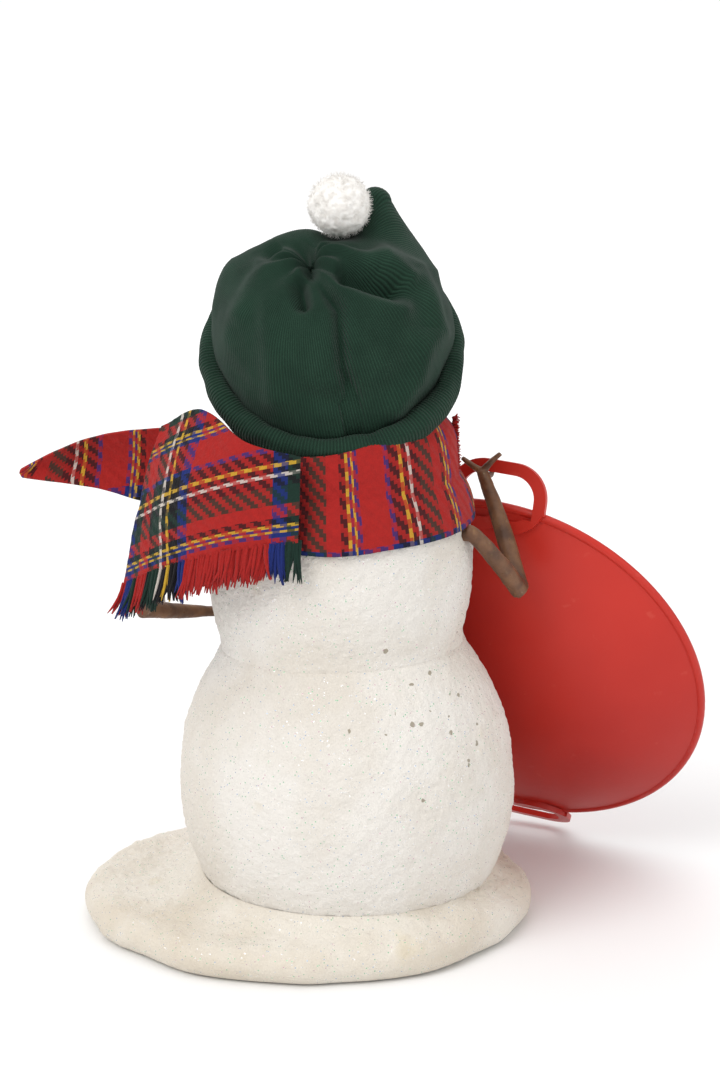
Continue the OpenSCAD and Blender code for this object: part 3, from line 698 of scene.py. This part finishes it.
# ---------------------------------------------------------------- pom-pom
def strand(path, radii, sides=4):
    """A closed tapered tube along points; returns vertices and faces."""
    path = np.asarray(path, float)
    verts, faces = [], []
    ahead = np.gradient(path, axis=0)
    for i, (p, r) in enumerate(zip(path, radii)):
        t = unit(ahead[i])
        u = unit(np.cross(t, [0.31, 0.85, 0.42]))
        w = np.cross(t, u)
        for k in range(sides):
            a = math.tau * k / sides
            verts.append(p + r * (math.cos(a) * u + math.sin(a) * w))
    n = len(path)
    for i in range(n - 1):
        for k in range(sides):
            k2 = (k + 1) % sides
            faces.append((i * sides + k, i * sides + k2, (i + 1) * sides + k2, (i + 1) * sides + k))
    faces.append(tuple(range(sides))[::-1])
    faces.append(tuple(range((n - 1) * sides, n * sides)))
    return verts, faces


def gathered(parts):
    verts, faces = [], []
    for v, f in parts:
        start = len(verts)
        verts += list(v)
        faces += [tuple(i + start for i in face) for face in f]
    return np.array(verts), faces


def ball(rows, cols):
    up = np.linspace(-math.pi / 2, math.pi / 2, rows + 2)[1:-1]
    turn = np.linspace(0, math.tau, cols, endpoint=False)
    ee, aa = np.meshgrid(up, turn, indexing="ij")
    d = np.stack([np.cos(ee) * np.cos(aa), np.cos(ee) * np.sin(aa), np.sin(ee)], -1).reshape(-1, 3)
    d = np.vstack([d, [[0, 0, -1], [0, 0, 1]]])
    faces = grid_faces(rows, cols, wrap_cols=True)
    for c in range(cols):
        c2 = (c + 1) % cols
        faces.append((len(d) - 2, c2, c))
        faces.append((len(d) - 1, (rows - 1) * cols + c, (rows - 1) * cols + c2))
    return d, faces


def pom_pom():
    rng = np.random.default_rng(7)
    centre = leaned([-2.8, 6.0, HEAD_Z + 37])
    d, faces = ball(90, 150)
    r = 6.9 + 0.30 * layered(d, 0.5, 2, 61) + 0.20 * noise(d, 0.16, 62) + 0.12 * noise(d, 0.07, 63)
    core = centre + d * r[:, None]
    parts = [(core, faces)]
    for _ in range(1500):
        way = unit(rng.normal(size=3))
        sideways = unit(np.cross(way, rng.normal(size=3)))
        start = centre + way * 6.3
        length = 0.7 + 0.75 * rng.random()
        path = [start + way * length * s + sideways * 0.75 * s * s for s in (0, 0.4, 0.75, 1)]
        parts.append(strand(path, (0.085, 0.07, 0.05, 0.02), 3))
    verts, faces = gathered(parts)
    piece = make("pom_pom_fluff", verts, faces, "root", POM)
    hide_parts("pom_pom")


pom_pom()


# ---------------------------------------------------------------- scarf
def curve_through(points, t):
    """Catmull-Rom curve through points, at t from 0 to 1."""
    p = np.asarray(points, float)
    p = np.vstack([2 * p[0] - p[1], p, 2 * p[-1] - p[-2]])
    n = len(p) - 3
    x = np.clip(np.asarray(t) * n, 0, n - 1e-9)
    i = x.astype(int)
    f = (x - i)[:, None]
    a, b, c, d = p[i], p[i + 1], p[i + 2], p[i + 3]
    return 0.5 * (2 * b + (c - a) * f + (2 * a - 5 * b + 4 * c - d) * f**2 + (3 * b - a - 3 * c + d) * f**3)


def patch(controls, rows, cols):
    """A smooth sheet through a grid of control points."""
    across = np.stack([curve_through(row, np.linspace(0, 1, cols)) for row in controls])
    return np.stack([curve_through(across[:, c], np.linspace(0, 1, rows)) for c in range(cols)], 1)


def lengths(grid):
    """Distance along the cloth across and down, measured on the surface, in mm."""
    across = np.linalg.norm(np.diff(grid, axis=1), axis=2)
    down = np.linalg.norm(np.diff(grid, axis=0), axis=2)
    s = np.concatenate([np.zeros((grid.shape[0], 1)), np.cumsum(across, 1)], 1)
    t = np.concatenate([np.zeros((1, grid.shape[1])), np.cumsum(down, 0)], 0)
    return s, t


def cloth_piece(name, grid, s, t, thick=0.85, wrap_cols=False, seed=0):
    rows, cols = grid.shape[:2]
    n = normals_of(grid, wrap_cols)
    flat = grid.reshape(-1, 3)
    fuzz = (0.07 * noise(flat, 0.9, seed) + 0.05 * noise(flat, 0.5, seed + 1)).reshape(rows, cols, 1)
    front = (grid + n * (thick / 2 + fuzz)).reshape(-1, 3)
    rear = (grid - n * (thick / 2)).reshape(-1, 3)
    count = rows * cols
    faces = grid_faces(rows, cols, wrap_cols, flip=True)
    faces += [tuple(i + count for i in f[::-1]) for f in faces]
    edges = []
    if not wrap_cols:
        edges += [[r * cols for r in range(rows)][::-1], [r * cols + cols - 1 for r in range(rows)]]
    ring_top = list(range(cols)) + ([0] if wrap_cols else [])
    ring_low = [(rows - 1) * cols + c for c in range(cols)] + ([(rows - 1) * cols] if wrap_cols else [])
    edges += [ring_top, ring_low[::-1]]
    for line in edges:
        for a, b in zip(line[:-1], line[1:]):
            faces.append((a, b, b + count, a + count))
    where = np.column_stack([s.ravel(), t.ravel(), np.zeros(count)])
    both = {"cloth": np.vstack([where, where])}
    return make(name, np.vstack([front, rear]), faces, "root", TARTAN, both)


def fringe(name, roots, ways, s_values, length, seed, stout=1.0):
    """Brushed yarn ends along an edge, each a tuft of four tapered strands."""
    rng = np.random.default_rng(seed)
    parts, tints = [], []
    for root, way, s in zip(roots, ways, s_values):
        side = unit(np.cross(way, [0.2, 0.9, 0.3]))
        lean = 0.9 * rng.normal()
        reach = length * (0.86 + 0.28 * rng.random())
        for k in range(4):
            start = root + stout * side * 0.24 * (k - 1.5) - way * 0.5 * stout
            start = start + unit(np.cross(way, side)) * 0.3 * rng.normal()
            bend = stout * (lean + 0.6 * rng.normal())
            path = [start + way * reach * f + side * bend * f * f for f in (0, 0.25, 0.5, 0.75, 1)]
            made = strand(path, stout * np.array([0.40, 0.46, 0.43, 0.34, 0.10]), 5)
            parts.append(made)
            tints += [s] * len(made[0])
    verts, faces = gathered(parts)
    none = np.zeros(len(tints))
    return make(name, verts, faces, "root", YARN, {"cloth": np.column_stack([tints, none, none])})


def scarf():
    # Round the neck
    rows, cols = 60, 420
    up = np.linspace(0, 1, rows)
    turn = np.linspace(0, math.tau, cols, endpoint=False)
    uu, aa = np.meshgrid(up, turn, indexing="ij")
    spot = np.column_stack([np.cos(aa).ravel() * 3, np.sin(aa).ravel() * 3, uu.ravel() * 1.2])
    crease = 0.75 * noise(spot, 0.9, 71).reshape(rows, cols) + 0.35 * np.sin(9 * uu + 3 * np.sin(2 * aa))
    behind = (1 + np.sin(aa)) / 2
    raised = 7.8 * np.exp(-((np.angle(np.exp(1j * (aa - 2.72))) / 0.80) ** 2))
    # Where the sled's rim swings by, the hem rides up and the cloth lies flat
    rim = np.exp(-((np.angle(np.exp(1j * (aa - 4.05))) / 0.60) ** 2))
    low, high = 99.4 - 1.6 * behind + 3.8 * rim, 115.2 + 2.8 * behind + raised
    z = low + (high - low) * uu + 0.5 * noise(spot, 1.5, 72).reshape(rows, cols)
    height = np.clip(z - CHEST_Z, 0, 30)
    lie = np.sqrt(np.maximum((CHEST_R + 1.2) ** 2 - height**2, 27.2**2))
    tuck = np.clip((uu - 0.72) / 0.28, 0, 1) ** 2
    crease = crease * (1 - 0.85 * rim)
    bulge = 1.1 * (1 - 0.5 * rim) * np.sin(math.pi * uu)
    crease = crease * 0.8 * np.sin(math.pi * np.clip(uu, 0.05, 0.95))
    r = lie - 0.25 * rim + bulge + crease - (1.1 + 5.0 * (1 - behind)) * tuck
    grid = leaned(np.stack([r * np.cos(aa), r * np.sin(aa), z], -1))
    wrap = cloth_piece("scarf_wrap", grid, uu * 20 + 5, aa * 29, wrap_cols=True, seed=73)
    # Back flap, from the right edge over the back of the neck to the left
    controls = [
        [(10, 30.4, 119.6), (22, 28.0, 122.4), (32, 15.5, 127), (42, 6, 121.5)],
        [(10.2, 32.6, 110), (24, 31.6, 111), (37, 22, 112), (46, 7.5, 109)],
        [(10.5, 33.4, 101), (26, 32.0, 98.5), (40, 23, 92.5), (51, 10.0, 85)],
    ]
    grid = patch(controls, 130, 230)
    s, t = lengths(grid)
    flat = grid.reshape(-1, 3)
    ripple = (0.35 * layered(flat, 8, 2, 74)).reshape(130, 230, 1)
    grid = grid + normals_of(grid) * ripple
    # The stripes run with the woven end, so they are counted from it
    t = ALONG_REPEAT - 1.2 - (t[-1:] - t)
    flap = cloth_piece("scarf_flap", grid, s, t, seed=75)
    pick = np.linspace(0, 229, 74).astype(int)
    fray = []
    tufts = 34
    for k in range(tufts):
        fray.append(leaned(np.array([-27.2, 7.0 - 0.09 * k, 110.5 + 11.8 * k / (tufts - 1)])))
    outward = [unit([-0.78, 0.34, 0.30])] * tufts
    edge = fringe("scarf_wrap_fringe", fray, outward, np.linspace(8, 25, tufts), 1.5, 79, 0.45)
    way = grid[-1] - grid[-8]
    way = way / np.linalg.norm(way, axis=1, keepdims=True) + np.array([0.10, 0, -0.55])
    way /= np.linalg.norm(way, axis=1, keepdims=True)
    ends = fringe("scarf_flap_fringe", grid[-1, pick], way[pick], s[-1, pick], 8.6, 76)
    # Side tail, folded, standing out to the left
    controls = [
        [(31, -12, 117.5), (49, -16, 116), (64, -18, 112.5), (77.5, -20, 105.6)],
        [(32, -13, 109.5), (48, -18, 107.5), (62, -20.5, 107), (78.2, -20.6, 104.6)],
        [(33, -12, 101.5), (46, -15.5, 98.5), (60, -18, 101.5), (77.5, -20, 103.6)],
    ]
    grid = patch(controls, 90, 200)
    s, t = lengths(grid)
    grid = grid + normals_of(grid) * (0.3 * layered(grid.reshape(-1, 3), 6, 2, 77)).reshape(90, 200, 1)
    tail = cloth_piece("scarf_tail", grid, t + 13, s + 3, thick=0.85, seed=78)
    for piece in (wrap, flap, tail):
        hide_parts("scarf")


scarf()


# ---------------------------------------------------------------- twig arms
def twig_tube(points, radii, rings=70, sides=22):
    t = np.linspace(0, 1, rings)
    path = curve_through(points, t)
    r = np.interp(t, np.linspace(0, 1, len(radii)), radii)
    verts, faces = [], []
    ahead = np.gradient(path, axis=0)
    u = unit(np.cross(ahead[0], [0.3, 0.5, 0.8]))
    for i in range(rings):
        d = unit(ahead[i])
        u = unit(u - (u @ d) * d)
        w = np.cross(d, u)
        for k in range(sides):
            a = math.tau * k / sides
            verts.append(path[i] + r[i] * (math.cos(a) * u + math.sin(a) * w))
    for i in range(rings - 1):
        for k in range(sides):
            k2 = (k + 1) % sides
            faces.append((i * sides + k, i * sides + k2, (i + 1) * sides + k2, (i + 1) * sides + k))
    faces.append(tuple(range(sides))[::-1])
    faces.append(tuple(range((rings - 1) * sides, rings * sides)))
    return verts, faces


def arm(name, node, parts, seed):
    """Branches fused into one skin, then roughened like bark."""
    verts, faces = gathered(parts)
    piece = make(name, verts, faces, node, TWIG)
    bpy.context.view_layer.objects.active = piece
    fuse = piece.modifiers.new("fuse", "REMESH")
    fuse.mode, fuse.voxel_size = "VOXEL", 0.26 * MM
    ease = piece.modifiers.new("ease", "SMOOTH")
    ease.factor, ease.iterations = 0.5, 4
    graph = bpy.context.evaluated_depsgraph_get()
    skin = bpy.data.meshes.new_from_object(piece.evaluated_get(graph))
    piece.modifiers.clear()
    old, piece.data = piece.data, skin
    bpy.data.meshes.remove(old)
    co = np.zeros(len(skin.vertices) * 3)
    no = np.zeros(len(skin.vertices) * 3)
    skin.vertices.foreach_get("co", co)
    skin.vertex_normals.foreach_get("vector", no)
    p, n = co.reshape(-1, 3) / MM, no.reshape(-1, 3)
    p = p + n * (0.08 * layered(p, 2.8, 2, seed) + 0.025 * noise(p, 0.8, seed + 3))[:, None]
    skin.vertices.foreach_set("co", (p * MM).ravel())
    skin.polygons.foreach_set("use_smooth", [True] * len(skin.polygons))
    skin.update()
    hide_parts(node)


def joint_place(name):
    """A joint's position in mm and the direction of its axis."""
    return np.array(JOINTS[name]["pos_m"]) / MM, unit(JOINTS[name]["axis"])


def arms():
    # The sled hangs by its strap: sx runs along the strap's width, sy up across it and sz through it
    hook, sx = joint_place("saucer_swing")
    strap_up = np.array([-0.134417, -0.114629, 0.984272])
    sy = unit(strap_up - (strap_up @ sx) * sx)
    sz = np.cross(sx, sy)

    def by_hook(along, across, behind):
        return hook + along * sx + across * sy - behind * sz

    grip, finger = 2.455, 0.7
    root, inward = joint_place("right_arm_swivel")
    peg = -inward
    elbow = np.array([-40.38, 0.71, 81.29])
    palm = by_hook(0.4, -1.6, grip + 0.5)
    bow = (elbow + palm) / 2 + np.array([-0.5, 0.3, 0])
    thumb = [palm, by_hook(0, -grip, grip), by_hook(0, -grip - 0.1, 0), by_hook(0, -grip, -grip),
             by_hook(0, 0.6 - grip / 2, -grip - 0.3)]
    arm("right_twig", "right_arm", [
        twig_tube([root - peg * 13, root - peg * 6, root], [1.6, 1.6, 1.7]),
        twig_tube([root - peg * 1.5, root, (root + elbow) / 2 + np.array([-0.6, 0.5, 0]), elbow],
                  [1.65, 1.75, 2.1, 2.2]),
        twig_tube([elbow, bow, palm], [2.25, 2.1, 1.45]),
        twig_tube([palm, by_hook(3, -0.6, grip + 0.6), by_hook(6, 0.8, grip + 0.2)], [1.0, 0.75, 0.55]),
        twig_tube([palm, by_hook(-1.6, 1.2, grip + 0.6), by_hook(-3.4, 3.4, grip + 0.2)],
                  [1.0, 0.75, 0.55]),
        twig_tube(thumb, [0.75, finger, finger, finger, 0.55]),
        twig_tube([elbow + peg * 0.4, elbow], [1.2, 2.3], rings=12),
    ], 81)
    root, peg = joint_place("left_arm_swivel")
    elbow = np.array([48.18, -2.79, 75.86])
    wrist = np.array([30.68, -18.79, 70.86])
    arm("left_twig", "left_arm", [
        twig_tube([root - peg * 13, root - peg * 6, root], [1.6, 1.6, 1.7]),
        twig_tube([root - peg * 1.5, root, (root + elbow) / 2 + np.array([0.6, 0.4, 0]), elbow],
                  [1.65, 1.7, 2.0, 2.15]),
        twig_tube([elbow, (elbow + wrist) / 2 + np.array([0.5, -0.6, -0.4]), wrist], [2.2, 1.8, 1.2]),
        twig_tube([wrist, wrist + [-4.4, -2.0, 1.4], wrist + [-8, -5, 2]], [1.05, 0.8, 0.55]),
        twig_tube([wrist, wrist + [-3.4, -4.0, -1.4], wrist + [-6, -8, -2]], [1.05, 0.8, 0.55]),
        twig_tube([wrist, wrist + [-2.2, -0.8, 2.6], wrist + [-5, -1, 4.5]], [0.95, 0.7, 0.5]),
    ], 85)


arms()


# ---------------------------------------------------------------- face and buttons
def coal_piece(node, lumps, seed):
    """A broken lump for each (place, outward direction, radius), sunk a little into the snow."""
    d, faces = ball(26, 44)
    parts = []
    for k, (at, way, r) in enumerate(lumps):
        way = unit(way)
        chip = 1 + 0.10 * noise(d + k * 3.1, 0.9, seed + k) + 0.07 * noise(d + k * 3.1, 0.4, seed + 50 + k)
        facet = np.round(chip * 14) / 14
        p = d * (r * (0.55 * chip + 0.45 * facet))[:, None]
        lift = p @ way
        p = p - np.outer(lift * 0.28, way)
        parts.append((np.asarray(at) + p, faces))
    verts, faces = gathered(parts)
    piece = make(node + "_lump", verts, faces, "root", COAL)
    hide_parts(node)


def on_face(turn, up):
    a, e = math.radians(turn), math.radians(up)
    way = np.array([math.sin(a) * math.cos(e), -math.cos(a) * math.cos(e), math.sin(e)])
    base = leaned(np.array([0, 0, HEAD_Z]) + way * HEAD_R)
    return base, way


def on_front(z, radius):
    at = leaned(np.array([0, -float(radius(np.array([z]))[0]), z]))
    slope = (float(radius(np.array([z + 0.1]))[0]) - float(radius(np.array([z - 0.1]))[0])) / 0.2
    return at, unit([0, -1, -slope])


for node, side in (("left_eye", 1), ("right_eye", -1)):
    coal_piece(node, [(*on_face(side * 19, 15), 1.95)], 91)
coal_piece("mouth_coals", [(*on_face(t, -29 + 9 * (t / 26) ** 2), 1.15) for t in (-26, -13, 0, 13, 26)], 93)
coal_piece("upper_button", [(*on_front(CHEST_Z + 1, chest_at), 2.4)], 95)
coal_piece("middle_button", [(*on_front(CHEST_Z - 13, chest_at), 2.4)], 96)
coal_piece("lower_button", [(*on_front(LOWER_Z + 17, lower_at), 2.4)], 97)


def carrot():
    base, way = on_face(0, 0)
    rows, cols = 110, 56
    along = np.linspace(-0.8, 15.6, rows)
    side = np.array([1.0, 0, 0])
    other = np.cross(way, side)
    turn = np.linspace(0, math.tau, cols, endpoint=False)
    aa, ll = np.meshgrid(turn, along)
    r = 2.6 - 2.0 * (ll + 0.8) / 15.4
    r = r * np.sqrt(np.clip((15.75 - ll) / 1.2, 0, 1))
    ring = 0.10 * np.exp(-((np.mod(ll + 0.5 * np.sin(aa), 2.3) - 1.1) / 0.22) ** 2)
    spot = np.column_stack([np.cos(aa).ravel() * 2, np.sin(aa).ravel() * 2, ll.ravel()])
    r = np.maximum(r - ring + 0.06 * noise(spot, 1.2, 98).reshape(rows, cols), 0.05)
    p = base + way * ll[..., None] + side * (r * np.cos(aa))[..., None] + other * (r * np.sin(aa))[..., None]
    p = p.reshape(-1, 3)
    faces = grid_faces(rows, cols, wrap_cols=True)
    faces.append(tuple(range(cols))[::-1])
    faces.append(tuple(range((rows - 1) * cols, rows * cols)))
    piece = make("nose_carrot", p, faces, "root", CARROT)
    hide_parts("carrot_nose")


carrot()


# ---------------------------------------------------------------- floor, lights and camera
def studio():
    bpy.ops.mesh.primitive_plane_add(size=40, location=(0, 0, 0))
    floor = bpy.context.object
    floor.name = "floor"
    m = Nodes("floor_paper", (0.90, 0.90, 0.90), 0.9)
    floor.data.materials.append(m.material)
    world = bpy.data.worlds.new("studio")
    bpy.context.scene.world = world
    world.use_nodes = True
    world.node_tree.nodes["Background"].inputs[0].default_value = (1, 1, 1, 1)
    world.node_tree.nodes["Background"].inputs[1].default_value = 0.72
    # Broad suns light the floor evenly; the lamps shape the figure
    lights = (("key", (0.75, 0.85, 1.05), "SUN", 0.6, 1.25), ("top", (0.1, 0.1, 1.5), "SUN", 1.0, 0.55),
              ("side", (-0.9, 0.7, 0.5), "AREA", 0.7, 2.0), ("front", (0.2, -1.1, 0.7), "AREA", 0.9, 2.5))
    for name, at, kind, size, power in lights:
        lamp = bpy.data.lights.new(name, kind)
        lamp.energy = power
        if kind == "SUN":
            lamp.angle = size
        else:
            lamp.size = size
        lit = bpy.data.objects.new(name, lamp)
        bpy.context.scene.collection.objects.link(lit)
        lit.location = at
        lit.rotation_euler = Vector((-at[0], -at[1], 0.09 - at[2])).to_track_quat("-Z", "Y").to_euler()
    camera = bpy.data.objects.new("camera", bpy.data.cameras.new("camera"))
    bpy.context.scene.collection.objects.link(camera)
    target = Vector(TARGET) * MM
    back = Vector((0, math.cos(SIGHT), math.sin(SIGHT)))
    camera.location = target + back * CAMERA_AWAY * MM
    camera.rotation_euler = (-back).to_track_quat("-Z", "Y").to_euler()
    camera.data.sensor_width = 36
    camera.data.lens = CAMERA_LENS
    camera.data.clip_start = 0.05
    bpy.context.scene.camera = camera
    bpy.context.scene.view_settings.view_transform = "Standard"


studio()
